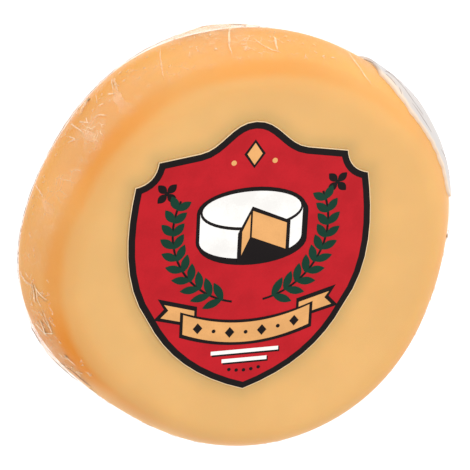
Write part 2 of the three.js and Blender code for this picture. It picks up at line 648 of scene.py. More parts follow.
def nearest_to(outline, spacing):
    """A search tree of places along a closed flat outline."""
    spots = []
    for start, end in zip(outline, outline[1:] + outline[:1]):
        steps = max(round((end - start).length / spacing), 1)
        spots += [start.lerp(end, step / steps) for step in range(steps)]
    tree = kdtree.KDTree(len(spots))
    for index, spot in enumerate(spots):
        tree.insert((*spot, 0), index)
    tree.balance()
    return tree


def cheese_material(colours):
    """Smooth pale cheese with a deeper orange ring along its smoked shoulder, and painted shade low on
    its side.

    Distances are millimetres from the shoulder's line, and are less than 0 over the faces.
    """
    material, nodes, shader = new_material("smoked cheese", colours.face, 0.36, specular=0.05)
    patches = mottle(nodes, 70.0, 330.0, 0.25)
    soft = patches.outputs["Patches"]
    smoke = nodes.attribute("smoke")
    uneven = nodes.times(nodes.maths("SUBTRACT", soft, 0.5), 2.0)
    edge = nodes.plus(nodes.attribute("edge_distance"), uneven)

    steep_ring = nodes.spread(edge, -3.6, -1.2, 0.0, 0.6)
    slow_ring = nodes.spread(edge, -9.0, -1.4, 0.0, 0.4)
    ring = nodes.times(nodes.plus(steep_ring, slow_ring), smoke, clamp=True)
    ringed = nodes.blend(ring, colours.face, colours.smoked_edge)

    side = nodes.blend(smoke, colours.rim, colours.smoked_rim)
    # Painted shade: the side darkens and deepens in colour away from its shoulder, less where smoked
    # most
    deeper = nodes.blend(1.0, side, colours.low_rim_shade, mode="MULTIPLY")
    less_smoked = nodes.spread(smoke, 0.75, 0.95, 1.0, 0.2)
    low_shade_share = nodes.times(nodes.spread(edge, 6.0, 11.0), less_smoked)
    side = nodes.blend(low_shade_share, side, deeper)
    past_edge = nodes.spread(edge, 0.0, 2.4)
    rimmed = nodes.blend(past_edge, ringed, side)

    depth = nodes.spread(soft, 0.3, 0.75, 0.96, 1.02)
    grey = nodes.add("ShaderNodeCombineColor", Red=depth, Green=depth, Blue=depth).outputs["Color"]
    mottled = nodes.blend(1.0, rimmed, grey, mode="MULTIPLY")
    shaded = nodes.blend(nodes.attribute("label_shade"), mottled, LABEL_SHADE, mode="MULTIPLY")
    nodes.feed(shader.inputs["Base Color"], shaded)
    shader.inputs["Subsurface Weight"].default_value = 0.22
    shader.inputs["Subsurface Radius"].default_value = (1.0, 0.45, 0.16)
    shader.inputs["Subsurface Scale"].default_value = 1.5 * MM
    bumped(nodes, shader, patches.outputs["Height"], 0.25, 0.25 * MM)
    return material


def dent_depth(spot):
    """How deep the cheese's shallow dents are at a place, from 0 to about 1."""
    dent = cube_noise(spot, 17 * MM, 3) + 0.4 * cube_noise(spot, 7 * MM, 8)
    return (0.5 + 0.5 * dent) ** 2


class GOUDA_OT_cheese(bpy.types.Operator):
    """Make the cheese that lies inside the film"""

    bl_idname = "gouda.make_cheese"
    bl_label = "Cheese"

    def execute(self, context):
        sizes = context.scene.gouda_sizes
        form = WheelForm(sizes)
        label = LabelForm(form)
        outline = nearest_to(label.outline(), OUTLINE_SPACING)
        bm, edge = spun_wheel(form, sizes.turn_steps, *CHEESE_RINGS)
        smoke = bm.verts.layers.float.new("smoke")
        shade = bm.verts.layers.float.new("label_shade")
        for vert in bm.verts:
            flat = vert.co - form.axis
            turn = math.atan2(flat.y, flat.x)
            vert[smoke] = share_round(SMOKED, LEAST_SMOKED, turn)
            if flat.z > form.middle and vert[edge] < 0:
                spot = (vert.co.xy - label.centre) / MM
                away = outline.find((*spot, 0))[2]
                vert[shade] = (1 - smooth_step(away, 0, LABEL_SHADE_REACH)) ** 1.5
            dented = smooth_step(vert[edge], -6, 2)
            depth = sizes.cheese_depth + sizes.cheese_dents * dented * dent_depth(vert.co)
            depth += swells(CHEESE_HOLLOWS, turn, flat.z) * rim_share(vert[edge])
            vert.co -= vert.normal * depth
        piece = new_piece("cheese", bm, cheese_material(context.scene.gouda_colours))
        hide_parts("wrapped_cheese")
        return {"FINISHED"}


# ---- The film --------------------------------------------------------------------------------

# Rings of faces across a face, down a shoulder and up the rim, where it is crinkled
FILM_RINGS = (4, 8, 60)

# Parts of the rim where the film is most crinkled: angle and its reach in degrees, and how much
CRINKLED = (
    (95, 26, 0.8),
    (140, 24, 1.0),
    (200, 22, 1.0),
    (290, 30, 0.6),
)
LEAST_CRINKLED = 0.25

# Where the film is drawn together or folded: width, taper, how thick it looks, then (degrees, mm up)
STREAKS = (
    # Towards the top of the picture
    (0.5, 0.3, 0.6, ((113.6, 14), (115.6, 19.6), (117.6, 24.4))),
    (0.5, 0.2, 0.9, ((94.6, 12.8), (96.8, 18), (98.3, 21.6), (98.5, 24.3))),
    (0.45, 0.2, 0.8, ((91.2, 19.2), (89.5, 21.7), (87.2, 23.1), (84.6, 23.8))),
    (0.7, 0.3, 0.95, ((85.1, 18.2), (85.4, 21), (85.8, 23.6))),
    (2.0, 0.0, 0.5, ((105, 9.6), (99, 10.2), (93, 11.2), (87, 13.8))),
    (0.55, 0.2, 0.85, ((63.7, 15.5), (62.5, 20.6), (59.9, 23.8), (56.9, 25.8))),
    # Towards its upper left
    (0.4, 0.2, 1.0, ((127.5, 13), (128.5, 15.8), (129.3, 18.3))),
    (0.9, 0.3, 0.55, ((127.2, 14.2), (128, 17), (128.8, 20.2))),
    (1.7, -0.9, 0.4, ((128.5, 15.5), (129.6, 21), (130, 27))),
    (0.55, 0.2, 0.85, ((131.2, 17.9), (130.1, 18.9), (129, 19.8))),
    (0.45, 0.1, 0.95, ((143.1, 13.1), (142.5, 17.3), (142, 20.4))),
    (1.3, -0.9, 0.4, ((142.2, 17.2), (141.5, 22), (141.6, 26))),
    (0.4, 0.1, 0.85, ((145.5, 16.6), (144.7, 19.5))),
    (0.4, 0.1, 0.85, ((144.6, 19.4), (145.8, 18.6), (147, 17.9))),
    (0.45, 0.1, 0.8, ((141.1, 16.6), (139.1, 19.9))),
    (0.35, 0.1, 0.75, ((138.8, 17.4), (139.7, 19.7))),
    (0.45, 0.2, 0.75, ((138.1, 19.8), (136.2, 20.4), (134.1, 22.6))),
    (0.5, 0.2, 0.6, ((133.3, 13.9), (134.5, 17.7))),
    (0.45, 0.2, 0.7, ((134.9, 18.5), (133, 19.4))),
    (1.5, 0.0, 0.5, ((139.6, 14.8), (137.5, 13.4), (135.2, 12.6))),
    # Towards its left
    (0.6, 0.1, 0.6, ((161.6, 10.8), (161.4, 16.2), (161.9, 19.4))),
    (1.4, -0.6, 0.3, ((161.7, 17), (163, 21), (165, 24.6))),
    (0.3, 0.1, 0.8, ((168.9, 13.8), (169.8, 15.8))),
    (0.3, 0.1, 0.8, ((172.4, 17.8), (173, 19.6))),
    (0.3, 0.1, 0.8, ((177.2, 18.7), (178.2, 20.4))),
    (0.3, 0.1, 0.8, ((182.5, 18.8), (183.4, 20.5))),
    (1.2, 0.5, 0.65, ((184.2, 14.8), (184.8, 19.1), (185.1, 22.7))),
    # Towards its lower left
    (0.46, 0.1, 1.1, ((183.6, 21.3), (186.9, 22), (190.1, 21.9))),
    (0.4, 0.1, 1.1, ((183.8, 22.3), (186.5, 23), (189.4, 23))),
    (0.5, 0.2, 1.1, ((184.6, 22.2), (186.2, 23.6), (187.1, 24.9), (187.5, 26.3))),
    (0.44, 0.1, 1.1, ((190.5, 23.9), (193.2, 24.4), (195.6, 24.6), (198.4, 24.9))),
    (0.4, 0.1, 1.0, ((193.2, 23.3), (194.9, 23.9), (196.7, 24.8))),
    (0.46, 0.1, 1.1, ((194.1, 22.5), (196.7, 22.3), (199.3, 22.3))),
    (0.8, 0.2, 0.9, ((196.1, 19.2), (197.6, 20.8), (198.5, 21.8), (199.8, 23.6))),
    (0.44, 0.1, 1.1, ((198.8, 21.8), (198.2, 23.6), (197.7, 25.2))),
    (0.46, 0.1, 1.0, ((204.6, 23.7), (206.3, 24.1))),
    (0.46, 0.1, 1.0, ((205.7, 24.8), (207.5, 25.3), (209.5, 25.8))),
    (0.5, 0.1, 1.0, ((209.7, 19.4), (209.9, 21.5), (210.4, 23))),
    (0.9, 0.1, 1.0, ((209.6, 19.7), (212.4, 20.9), (215.6, 22.1), (219.6, 22.7))),
    (0.36, 0.2, 0.8, ((216, 12), (226, 10.4), (236, 9.6), (246, 10.4))),
    (0.3, 0.2, 0.8, ((200, 14), (208, 12.6), (216, 12.4), (222, 13.6))),
    # Round the side that faces away
    (0.5, 0.4, 0.8, ((250, 8), (249, 14), (251, 20), (252, 25))),
    (0.8, 0.6, 0.7, ((276, 9), (278, 15), (277, 21), (277.5, 24))),
    (0.5, 0.3, 0.8, ((304, 9), (302, 15), (303, 20), (302, 25))),
    (0.6, 0.5, 0.8, ((318, 8), (319, 13), (321, 19), (322, 24))),
    (0.7, 0.5, 0.7, ((340, 8), (339, 14), (341, 20), (340, 25))),
    (0.5, 0.4, 0.8, ((357, 7), (359, 12), (358, 18), (360, 23))),
)

# Edges and folds of film that show dark: width, how thick they look, then (degrees, mm up)
FILM_EDGES = (
    (0.24, 1.0, ((208.3, 17), (210.8, 17.2), (213, 17.6), (216, 18), (219.6, 18.8))),
    (0.26, 1.0, ((208.6, 20.6), (210.4, 22.4), (212.8, 23.4), (216.5, 23.6), (219.8, 23.8))),
    (0.26, 1.0, ((199.2, 15), (201.4, 15.4), (203.3, 15.9), (205.2, 16.2))),
    (0.16, 1.0, ((102, 10.5), (100.7, 9.8), (99.2, 9.4))),
    (0.16, 1.0, ((95.6, 10), (93, 9.7), (90.6, 9.7), (88.6, 10))),
    (0.16, 0.8, ((94.4, 12.1), (91.4, 12.9))),
    (0.2, 1.0, ((58.6, 17.2), (57.3, 16.7), (55.6, 15.9), (53.8, 14.9))),
    (0.18, 0.45, ((183.8, 21.8), (186.8, 22.5), (189.8, 22.4))),
    (0.18, 0.3, ((185.2, 22.3), (186.8, 23.4), (187.8, 24.9), (188.1, 25.9))),
    (0.18, 0.45, ((191, 23.4), (193.4, 23.9), (195.6, 24.2), (198, 24.4))),
    (0.18, 0.4, ((194.4, 22.9), (196.7, 22.8), (199, 22.8))),
    (0.2, 0.4, ((196.8, 19.6), (198.2, 21), (199.2, 22.4))),
    # The weld along the rim, which the outline shows in places
    (0.22, 0.6, ((107, 8.2), (113, 7.9), (118.5, 7.8), (124.5, 7.5))),
    (0.22, 0.7, ((123, 7.5), (129, 7.6), (134, 7.6), (140, 7.8))),
    (0.22, 0.7, ((138, 7.7), (143, 7.9), (149.5, 8.2), (156, 8.6))),
    (0.22, 0.6, ((154, 8.4), (162, 9.2), (168.5, 9.6), (174.5, 10.2))),
    (0.22, 0.6, ((172, 10), (178, 10.4), (184, 11.2), (190, 12.8))),
)

# Where the film is hazy past the shoulder, which also paints the light's sheen on it: angle and its
# reach in degrees, and how much
HAZE_AND_SHEEN = (
    (138, 24, 1.0),
    (104, 16, 0.55),
    (165, 16, 0.5),
    (290, 50, 0.2),
)
LEAST_HAZE_AND_SHEEN = 0.04

# The film is quite milky where it stands this far off the cheese
LOOSE_FILM = 0.6 * MM

# Crowds of crumples: degrees from and to, mm up from and to, how many, mm long from and to
CREASE_CROWDS = (
    ((182, 201), (20, 26.5), 30, (0.7, 2.0)),
    ((203, 214), (23, 28), 12, (0.7, 2.0)),
    ((120, 150), (10, 19), 16, (0.5, 1.3)),
    ((100, 120), (12, 23), 14, (0.5, 1.2)),
    ((69, 94), (19.5, 23.5), 10, (0.7, 2.2)),
    ((150, 180), (11, 22), 18, (0.4, 1.2)),
    ((214, 366), (7, 25), 90, (0.6, 2.6)),
    ((70, 366), (4, 11), 70, (0.6, 2.2)),
)
CRUMPLE_SEED = 11

# No crumple reaches below or above these heights, in mm
CREASES_FROM = 3.5
CREASES_TO = 28.4

# How high the ridges of folded film are, and how deep the roots of its dark edges reach
STREAK_HEIGHT = 0.11 * MM
CREASE_HEIGHT = 0.1 * MM
EDGE_HEIGHT = 0.16 * MM
EDGE_ROOT = 0.08 * MM


def under_rim_label(turn):
    """1 where the rim label covers the rim, and 0 elsewhere."""
    degrees = past(turn, 0)
    return smooth_step(degrees, 8, 12) * (1 - smooth_step(degrees, 50, 56))


def crinkled_share(turn, edge):
    """How crinkled the film is in one direction, at a distance in mm from the shoulder's line."""
    bare = 1 - under_rim_label(turn)
    return share_round(CRINKLED, LEAST_CRINKLED, turn) * rim_share(edge) * bare


def film_rise(form, turn, level):
    """How far the film stands off the solid's surface at one place."""
    edge = form.edge_distance(form.radius_at(level), level) / MM
    flat = form.place(turn, level) - form.axis
    ruck = 1 - abs(cube_noise(Vector((flat.x, flat.y, flat.z * 0.6)), 3.2 * MM, 5)) * 2.4
    slack = swells(FILM_SLACK, turn, level) * rim_share(edge)
    return slack + max(ruck, 0) ** 3 * crinkled_share(turn, edge) * form.film_crumple


def film_material(colours):
    """Thin clear film: nearly unseen on the faces, hazy in patches and creased on the rim. The hazy
    patches are also a painted sheen of the light.
    """
    material, nodes, shader = new_material("shrink film", colours.film, 0.16, specular=0.06)
    edge = nodes.attribute("edge_distance")
    soft = mottle(nodes, 130.0, 520.0, 0.6).outputs["Patches"]

    # Hazy past the shoulder, which also paints the light's sheen on the film
    wandering = nodes.plus(edge, nodes.times(soft, 6.0))
    near_shoulder = nodes.spread(wandering, 8.5, 14.0, 1.0, 0.0)
    clouds = nodes.spread(soft, 0.35, 0.65, 0.11, 0.3)
    haze_and_sheen = nodes.times(nodes.times(clouds, near_shoulder), nodes.attribute("haze_and_sheen"))

    milk = nodes.times(nodes.attribute("loose"), nodes.spread(soft, 0.3, 0.7, 0.22, 0.44))

    crumpled = nodes.times(nodes.attribute("crease"), nodes.spread(soft, 0.45, 0.62))
    folded = nodes.times(nodes.times(crackle(nodes, 420.0, 0.05), crumpled), 0.5)

    cloudy = nodes.plus(nodes.plus(haze_and_sheen, milk), folded)
    alpha = nodes.times(cloudy, nodes.spread(edge, -0.8, 2.0))
    nodes.feed(shader.inputs["Alpha"], nodes.plus(alpha, 0.01, clamp=True))
    bumped(nodes, shader, nodes.noise(nodes.place(), 700.0, 3.0, 0.6), 0.3, 0.1 * MM)
    return material


class GOUDA_OT_film(bpy.types.Operator):
    """Wrap the clear film round the cheese"""

    bl_idname = "gouda.wrap_film"
    bl_label = "Film"

    def execute(self, context):
        sizes = context.scene.gouda_sizes
        form = WheelForm(sizes)
        bm, edge = spun_wheel(form, sizes.turn_steps, *FILM_RINGS)
        crease = bm.verts.layers.float.new("crease")
        haze_and_sheen = bm.verts.layers.float.new("haze_and_sheen")
        loose = bm.verts.layers.float.new("loose")
        for vert in bm.verts:
            flat = vert.co - form.axis
            turn = math.atan2(flat.y, flat.x)
            vert[crease] = crinkled_share(turn, vert[edge])
            vert[haze_and_sheen] = share_round(HAZE_AND_SHEEN, LEAST_HAZE_AND_SHEEN, turn)
            vert[loose] = swells(FILM_SLACK + CHEESE_HOLLOWS, turn, flat.z) / LOOSE_FILM
            vert.co += vert.normal * (film_rise(form, turn, flat.z) - sizes.film_depth)
        piece = new_piece("shrink_film", bm, film_material(context.scene.gouda_colours))
        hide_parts("wrapped_cheese")
        return {"FINISHED"}


def fold_material(colours):
    """Film folded on itself, which looks milky and thins out towards the ends of a fold. Its bright
    cream is also a painted glint of light on the fold.
    """
    material, nodes, shader = new_material("folded film", colours.folded_film_and_glint, 0.34, specular=0.2)
    soft = mottle(nodes, 400.0, 1500.0, 0.8).outputs["Patches"]
    thick = nodes.spread(soft, 0.3, 0.7, 0.62, 0.95)
    nodes.feed(shader.inputs["Alpha"], nodes.times(nodes.attribute("body"), thick, clamp=True))
    deep = [channel * 0.86 for channel in colours.folded_film_and_glint]
    tint = nodes.blend(nodes.spread(soft, 0.3, 0.7), deep, colours.folded_film_and_glint)
    nodes.feed(shader.inputs["Base Color"], tint)
    return material


def film_edge_material(colours):
    """Film seen along its skin, where it looks dark."""
    material, nodes, shader = new_material("film edge", colours.film_edge, 0.3, specular=0.2)
    soft = mottle(nodes, 500.0, 1500.0, 0.8).outputs["Patches"]
    thick = nodes.spread(soft, 0.35, 0.65, 0.35, 0.85)
    nodes.feed(shader.inputs["Alpha"], nodes.times(nodes.attribute("body"), thick, clamp=True))
    return material


def wander(draw, radius, start, heading, reach, bend):
    """A path of four points from a start of (degrees, mm up), kept on the rim."""
    turn, level = start
    path = [start]
    for _ in range(3):
        heading += draw.uniform(-bend, bend)
        turn += math.degrees(reach / 3 * math.cos(heading) / radius)
        level = min(max(level + reach / 3 * math.sin(heading), CREASES_FROM), CREASES_TO)
        path.append((turn, level))
    return path


def crumple(draw, radius, turns, levels, lengths):
    """One longer fold and up to two short ones that branch from it, as ridges."""
    start = (draw.uniform(*turns), draw.uniform(*levels))
    heading = draw.gauss(0, 0.6) + draw.choice((0, math.pi))
    reach = draw.uniform(*lengths)
    main = wander(draw, radius, start, heading, reach, 0.4)
    strength = draw.uniform(0.45, 0.95)
    folds = [(main, draw.uniform(0.25, 0.5) * MM, 0.3, strength)]
    for _ in range(draw.randint(0, 2)):
        lean = draw.choice((-1, 1)) * draw.uniform(0.5, 1.2)
        length = reach * draw.uniform(0.3, 0.6)
        branch = wander(draw, radius, main[draw.randint(1, 3)], heading + lean, length, 0.3)
        folds.append((branch, draw.uniform(0.18, 0.34) * MM, 0.4, strength))
    return folds


class GOUDA_OT_folds(bpy.types.Operator):
    """Crease the film across and along the rim"""

    bl_idname = "gouda.fold_film"
    bl_label = "Film folds"

    def execute(self, context):
        sizes = context.scene.gouda_sizes
        form = WheelForm(sizes)
        material = fold_material(context.scene.gouda_colours)
        ridges = [(path, width * MM, taper, strength) for width, taper, strength, path in STREAKS]
        bm = ridge_mesh(form, film_rise, ridges, STREAK_HEIGHT, sizes.fold_root, sides=8, rings=36)
        streaks = new_piece("film_streaks", bm, material)

        ridges = [(path, width * MM, 0, strength) for width, strength, path in FILM_EDGES]
        bm = ridge_mesh(
            form, film_rise, ridges, EDGE_HEIGHT, EDGE_ROOT, sides=6, rings=30, clear_sides=False
        )
        edges = new_piece("film_edges", bm, film_edge_material(context.scene.gouda_colours))

        draw = random.Random(CRUMPLE_SEED)
        ridges = []
        for turns, levels, count, lengths in CREASE_CROWDS:
            for _ in range(count):
                ridges += crumple(draw, form.radius / MM, turns, levels, lengths)
        bm = ridge_mesh(form, film_rise, ridges, CREASE_HEIGHT, sizes.fold_root)
        creases = new_piece("film_creases", bm, material)

        # Clear film lets its light through, so a fold throws no shadow on the cheese beneath it
        for piece in (streaks, edges, creases):
            piece.visible_shadow = False
        return {"FINISHED"}


# ---- The face label --------------------------------------------------------------------------


class LabelForm:
    """The outline and the place of the face label, in millimetres from its middle."""

    middle = (-2.9, 0)
    half_width = 27.6
    top = 27.2
    crest = 33.8
    foot = -29.4

    def __init__(self, form):
        _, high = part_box("face_label")
        self.surface = high[2]
        self.centre = form.axis.xy + Vector(self.middle) * MM

    def side(self, sign):
        """One side of the shield, from the crest down to the foot."""
        wide = sign * self.half_width
        top = self.top
        spots = [Vector((0, self.crest))]
        bends = (
            ((wide * 0.2, self.crest), (wide * 0.26, top + 0.8), (wide * 0.44, top)),
            ((wide * 0.55, top - 0.467), (wide * 0.66, top - 0.933), (wide * 0.77, top - 1.4)),
            ((wide * 0.783, top - 4.467), (wide * 0.843, top - 6.267), (wide * 0.95, top - 6.8)),
            ((wide * 1.02, top - 17), (wide * 1.04, top - 29), (wide * 0.82, top - 38)),
            ((wide * 0.66, top - 47), (wide * 0.4, top - 53), (0, self.foot)),
        )
        for first, second, end in bends:
            spots += interpolate_bezier(spots[-1], Vector(first), Vector(second), Vector(end), 9)[1:]
        return [spot.xy for spot in spots]

    def outline(self):
        """The whole outline, once round."""
        return self.side(-1) + self.side(1)[-2:0:-1]


class Ink:
    """Flat closed plates of one colour on the face label. Places are in millimetres from its middle.

    Each plate lies a hair above the one before it, so that tops that overlap share no plane.
    """

    thickness = 0.02
    hair = 0.01  # as a share of the thickness
    hairs = 60  # plates until the hairs start again

    def __init__(self, label):
        self.label = label
        self.bm = bmesh.new()
        self.plate = bpy.data.meshes.new("plate")
        self.laid = 0

    def lay(self, bm, layer, centre=(0, 0), turn=0.0):
        """Turns and moves a flat shape to its place, and thickens it into a plate."""
        self.laid += 1
        lift = (layer + self.hair * (self.laid % self.hairs)) * self.thickness
        place = Matrix.Translation((*centre, lift)) @ Matrix.Rotation(turn, 4, "Z")
        bmesh.ops.transform(bm, matrix=place, verts=bm.verts)
        raised = bmesh.ops.extrude_face_region(bm, geom=bm.faces[:])["geom"]
        tops = [item for item in raised if isinstance(item, bmesh.types.BMVert)]
        bmesh.ops.translate(bm, verts=tops, vec=(0, 0, self.thickness))
        bmesh.ops.recalc_face_normals(bm, faces=bm.faces)
        bm.to_mesh(self.plate)
        bm.free()
        self.bm.from_mesh(self.plate)

    def shape(self, points, layer, inset=0.0, centre=(0, 0), turn=0.0):
        """A plate with a given outline, or with that outline drawn in by an inset."""
        bm = bmesh.new()
        face = bm.faces.new([bm.verts.new((*point, 0)) for point in points])
        if inset > 0:
            bm.normal_update()
            ring = bmesh.ops.inset_region(
                bm, faces=[face], thickness=inset, use_even_offset=True, use_boundary=True
            )
            bmesh.ops.delete(bm, geom=ring["faces"], context="FACES")
        self.lay(bm, layer, centre, turn)

    def ellipse(self, layer, centre, wide, high, turn=0.0, steps=40):
        """A filled ellipse, given its two radii."""
        bm = bmesh.new()
        bmesh.ops.create_circle(bm, cap_ends=True, segments=steps, radius=1)
        bmesh.ops.scale(bm, verts=bm.verts, vec=(wide, high, 1))
        self.lay(bm, layer, centre, turn)

    def bar(self, layer, centre, half, high, turn=0.0, bow=0.0):
        """A straight-ended bar. With a bow, its middle rises, or sinks if the bow is negative."""
        bm = bmesh.new()
        bmesh.ops.create_grid(bm, x_segments=24 if bow else 1, y_segments=1, size=1)
        bmesh.ops.scale(bm, verts=bm.verts, vec=(half, high / 2, 1))
        for vert in bm.verts:
            vert.co.y += bow * (1 - (vert.co.x / half) ** 2)
        self.lay(bm, layer, centre, turn)

    def leaf(self, layer, centre, half, wide, turn=0.0):
        """A leaf pointed at both ends."""
        bm = bmesh.new()
        bmesh.ops.create_circle(bm, cap_ends=True, segments=20, radius=1)
        for vert in bm.verts:
            vert.co.y *= abs(vert.co.y) * wide / 2
            vert.co.x *= half
        self.lay(bm, layer, centre, turn)

    def lozenge(self, layer, centre, wide, high):
        """A diamond, given its two half sizes."""
        self.shape(((wide, 0), (0, high), (-wide, 0), (0, -high)), layer, centre=centre)

    def finish(self, name, material):
        """Makes the plates one piece on the label."""
        bm = self.bm
        bpy.data.meshes.remove(self.plate)
        bmesh.ops.scale(bm, verts=bm.verts, vec=(MM, MM, MM))
        spot = (*self.label.centre, self.label.surface)
        bmesh.ops.translate(bm, verts=bm.verts, vec=spot)
        piece = new_piece(name, bm, material, smooth=False)


def ink_material(name, ink, roughness=0.34):
    """Printed paper under a thin satin varnish, with a slightly uneven ink."""
    material, nodes, shader = new_material(name, ink, roughness, specular=0.14)
    patches = mottle(nodes, 160.0, 2600.0, 0.5)
    soft = patches.outputs["Patches"]
    dark = [channel * 0.9 for channel in ink]
    light = [min(channel * 1.06, 1) for channel in ink]
    nodes.feed(shader.inputs["Base Color"], nodes.blend(nodes.spread(soft, 0.25, 0.75), dark, light))
    rough = nodes.spread(soft, 0.25, 0.75, roughness - 0.04, roughness + 0.06)
    nodes.feed(shader.inputs["Roughness"], rough)
    bumped(nodes, shader, patches.outputs["Height"], 0.12, 0.03 * MM)
    return material


# Layers of print, from the paper up
BORDER, FIELD, BACKING, MOTIF, DETAIL, GLINT, MARK, CUT = range(8)


def print_border(black, red, label):
    """The dark border inside the bare edge, and the field inside the border."""
    outline = label.outline()
    black.shape(outline, BORDER, inset=0.16)
    red.shape(outline, FIELD, inset=1.65)


def print_crest(black, gold):
    """A lozenge in the crest, with a dot either side."""
    black.lozenge(BACKING, (0, 26.4), 2.4, 3.3)
    gold.lozenge(MOTIF, (0, 26.4), 1.7, 2.5)
    for side in (-1, 1):
        gold.ellipse(MOTIF, (side * 4.6, 24.6), 0.6, 0.6, steps=20)


# The branches lie on a circle, from a direction in degrees to another
WREATH = {"height": 9.4, "radius": 17.6, "from": -76, "to": 22, "stems": 26, "pairs": 10}


def wreath_turn(share):
    """The direction at one share of a branch's length, from the circle's middle."""
    return math.radians(WREATH["from"] + (WREATH["to"] - WREATH["from"]) * share)


def wreath_spot(side, radius, turn):
    """A place in a direction from the circle's middle, on the right side or mirrored to the left."""
    return (side * radius * math.cos(turn), WREATH["height"] + radius * math.sin(turn))


def print_wreath(black, green):
    """Two leafy branches that curve up round the drawn cheese from below."""
    radius = WREATH["radius"]
    for side in (-1, 1):
        for step in range(WREATH["stems"]):
            turn = wreath_turn(step / (WREATH["stems"] - 1))
            tilt = math.pi / 2 + turn
            tilt = tilt if side > 0 else math.pi - tilt
            black.bar(BACKING, wreath_spot(side, radius, turn), 0.75, 0.5, turn=tilt)
        for pair in range(WREATH["pairs"]):
            share = (pair + 0.6) / WREATH["pairs"]
            turn = wreath_turn(share)
            size = 2.5 - 0.7 * share
            for lean in (-1, 1):
                spot = wreath_spot(side, radius + lean * 0.62 * size, turn + 0.6 * size / radius)
                tilt = math.pi / 2 + turn - lean * 0.75
                green.leaf(MOTIF, spot, size, 1.9, tilt if side > 0 else math.pi - tilt)


def print_ribbon(black, gold):
    """A hanging ribbon with a dark edge, folded tails and a row of lozenges."""
    middle = -12.4
    half = 14.5
    sag = -3.0
    for side in (-1, 1):
        tail = ((11.4, 4.0), (20.4, 6.6), (18.9, 4.0), (21.2, 1.6), (11.4, -1.0))
        inner = ((12, 3.1), (18.9, 5.1), (17.9, 3.7), (19.6, 2.0), (12, -0.1))
        for ink, outline, layer in ((black, tail, BACKING), (gold, inner, MOTIF)):
            points = [(side * u, v) for u, v in outline]
            ink.shape(points[::side], layer, centre=(0, middle))
    black.bar(DETAIL, (0, middle), half + 0.7, 6.1, bow=sag)
    gold.bar(GLINT, (0, middle), half, 4.7, bow=sag)
    gap = 3.7
    for step in range(-3, 4):
        spot = (step * gap, middle + sag * (1 - (step * gap / half) ** 2))
        if step % 2:
            black.lozenge(MARK, spot, 1.1, 1.3)
        else:
            black.ellipse(MARK, spot, 0.45, 0.45, steps=16)


def print_round(black, gold, white):
    """A drawn cheese with a wedge taken out of it, and a dark edge and shadow."""
    middle = (0, 13.4)
    wide, high, deep = 11.6, 4.6, 6.6
    grow = 0.8
    for right, down in ((0, 0), (0.5, 0.8)):
        spot = (middle[0] + right, middle[1] - down)
        black.ellipse(BACKING, spot, wide + grow, high + grow)
        black.ellipse(BACKING, (spot[0], spot[1] - deep), wide + grow, high + grow)
        black.bar(BACKING, (spot[0], spot[1] - deep / 2), wide + grow, deep)
    white.ellipse(MOTIF, (middle[0], middle[1] - deep), wide, high)
    white.bar(MOTIF, (middle[0], middle[1] - deep / 2), wide, deep)
    black.ellipse(DETAIL, middle, wide, high)
    white.ellipse(GLINT, (middle[0], middle[1] + 0.3), wide - 0.45, high - 0.45)
    gap = ((0.1, 0.9), (-2.9, -5.2), (-2.9, -5.4 - deep), (8.9, -4.5 - deep), (8.9, -3.0))
    black.shape(gap, MARK, centre=middle)
    left = ((0, 0.2), (-2.2, -4.8), (-2.2, -4.8 - deep), (0, 0.2 - deep))
    right = ((0, 0.2 - deep), (8.3, -3.3 - deep), (8.3, -3.3), (0, 0.2))
    for cut in (left, right):
        gold.shape(cut, CUT, inset=0.22, centre=middle)


def print_rules(black, white):
    """White and dark rules below the ribbon, shorter towards the foot, and a row of dots."""
    for level, half in ((-20.0, 7.8), (-22.1, 5.2)):
        black.bar(BACKING, (0.3, level - 0.3), half, 1.2)
        white.bar(MOTIF, (0, level), half, 0.9)
    for step in range(-2, 3):
        spot = (step * 1.7, -24.7 + 0.1 * step * step)
        black.ellipse(BACKING, spot, 0.42, 0.42, steps=12)


def print_florets(black):
    """A floret of four petals in either upper corner."""
    middle = (19.2, 18.6)
    for side in (-1, 1):
        for petal in range(4):
            turn = math.pi / 4 + petal * math.pi / 2
            spot = (side * middle[0] + 1.5 * math.cos(turn), middle[1] + 1.5 * math.sin(turn))
            black.leaf(BACKING, spot, 1.4, 1.8, turn)
        black.ellipse(BACKING, (side * middle[0], middle[1]), 0.5, 0.5, steps=16)


class GOUDA_OT_face_label(bpy.types.Operator):
    """Give the face label its paper and its print"""

    bl_idname = "gouda.print_face_label"
    bl_label = "Face label"

    def execute(self, context):
        colours = context.scene.gouda_colours
        label = LabelForm(WheelForm(context.scene.gouda_sizes))
        paper = ink_material("face label paper", colours.label_edge, 0.45)
        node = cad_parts["face_label"]
        for place in node.material_slots:
            place.material = paper
        tints = {
            "black": colours.label_black,
            "red": colours.label_field,
            "gold": colours.label_gold,
            "green": colours.label_green,
            "white": colours.label_white,
        }
        inks = {name: Ink(label) for name in tints}
        black, red, gold, green, white = inks.values()
        print_border(black, red, label)
        print_crest(black, gold)
        print_wreath(black, green)
        print_round(black, gold, white)
        print_ribbon(black, gold)
        print_rules(black, white)
        print_florets(black)
        for name, ink in inks.items():
            ink.finish(f"face_print_{name}", ink_material(f"{name} ink", tuple(tints[name])))
        return {"FINISHED"}


# ---- The rim label ---------------------------------------------------------------------------

# The rim label, in degrees and mm. Its back reaches into the film, so that no gap shows
RIM_LABEL = {"from": 11, "to": 54, "low": 4.4, "high": 25.7, "into_film": 1.0}

# How long a degree is round the rim
DEGREE_LENGTH = 0.86 * MM

# The upper edge curves down towards either end: degrees from and to, and mm of drop
RIM_LABEL_CORNERS = (
    (17, 11, 4.5),
    (33, 54, 5.3),
)

